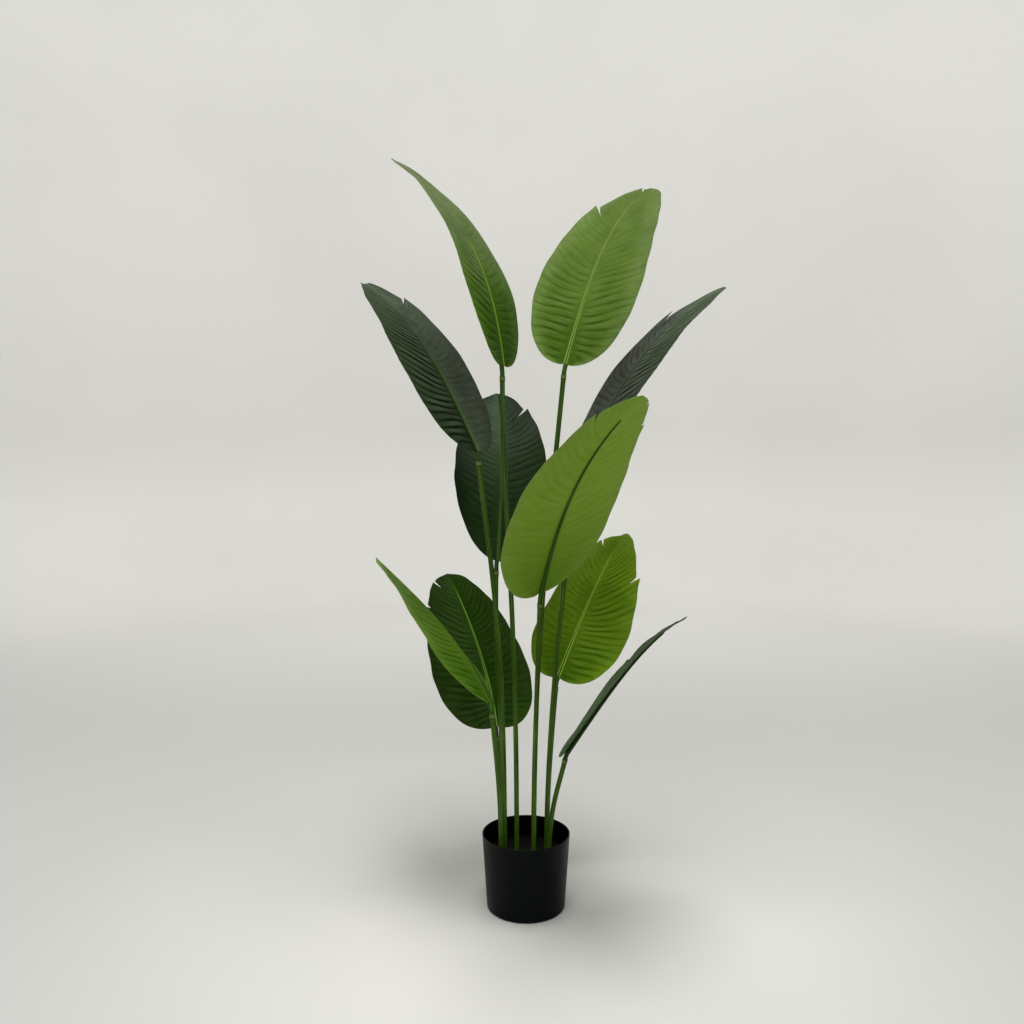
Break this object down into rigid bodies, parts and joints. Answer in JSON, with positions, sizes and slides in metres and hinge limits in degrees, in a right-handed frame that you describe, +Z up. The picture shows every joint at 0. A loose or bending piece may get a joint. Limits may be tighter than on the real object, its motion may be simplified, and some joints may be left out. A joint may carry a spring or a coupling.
{
  "type": "potted banana plant",
  "caption": "Tall artificial banana plant: long folded leaves on slim stems that stand in the weighted fill of a plain tapered black pot.",
  "frame": {"origin": "centre of the flat underside of the pot, where it rests on the floor", "axes": "+Z up along the pot's axis; -Y is the front, the side the picture shows; +X is to the right in it"},
  "size_m": [0.751, 0.7655, 1.4888],
  "materials": {
    "pot_plastic": "satin moulded black plastic",
    "fill_cement": "rough black-tinted cement",
    "stem_green": "satin green plastic, darker along one side",
    "leaf_light_green": "coated printed cloth, yellow-green, soft sheen, fine side veins",
    "leaf_dark_green": "coated printed cloth, deep green, soft sheen, fine side veins"
  },
  "bodies": {
    "root": {"pot": "pot_plastic", "fill": "fill_cement", "stem_top_left": "stem_green", "leaf_top_left": "leaf_light_green", "stem_top_right": "stem_green", "leaf_top_right": "leaf_light_green", "stem_middle_left": "stem_green", "leaf_middle_left": "leaf_dark_green", "stem_middle_back": "stem_green", "leaf_middle_back": "leaf_dark_green", "stem_middle_right": "stem_green", "leaf_middle_right": "leaf_dark_green", "stem_front": "stem_green", "leaf_front": "leaf_light_green", "stem_low_right": "stem_green", "leaf_low_right": "leaf_light_green", "stem_low_left": "stem_green", "leaf_low_left": "leaf_dark_green", "stem_low_front": "stem_green", "leaf_low_front": "leaf_light_green", "stem_low_edge": "stem_green", "leaf_low_edge": "leaf_dark_green"}
  },
  "joints": []
}
